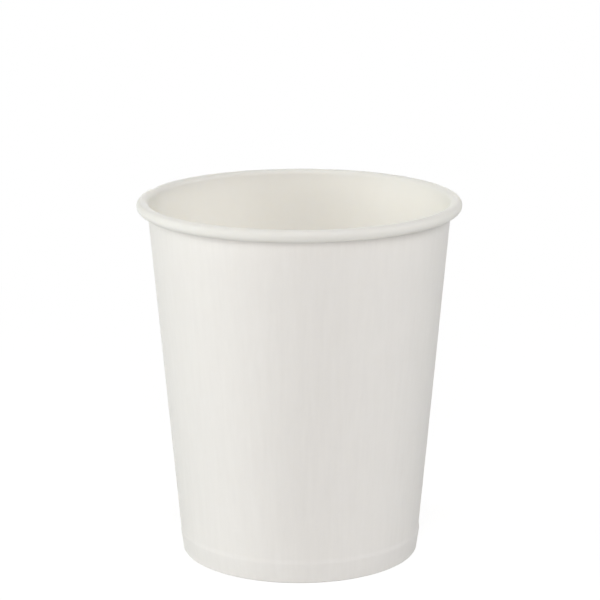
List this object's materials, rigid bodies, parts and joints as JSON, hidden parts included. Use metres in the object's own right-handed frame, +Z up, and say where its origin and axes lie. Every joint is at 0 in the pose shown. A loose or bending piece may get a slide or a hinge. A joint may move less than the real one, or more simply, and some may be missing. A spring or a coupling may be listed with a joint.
{
  "type": "paper coffee cup",
  "caption": "Plain white single-wall paper cup for hot drinks: tapered wall with a lapped seam, rolled rim, and a recessed floor held in a folded hem.",
  "frame": {"origin": "centre of the foot ring, on the plane that the cup stands on", "axes": "+Z up along the cup's axis, -Y towards the side that the picture shows; the seam lies at the back left, 17 degrees from -X towards +Y"},
  "size_m": [0.08, 0.08, 0.0895],
  "materials": {
    "wall_board": "matt white board outside, film-coated satin cream inside",
    "bottom_board": "film-coated satin cream above, plain matt board beneath"
  },
  "bodies": {
    "root": {"sidewall": "wall_board", "bottom_disc": "bottom_board"}
  },
  "joints": []
}
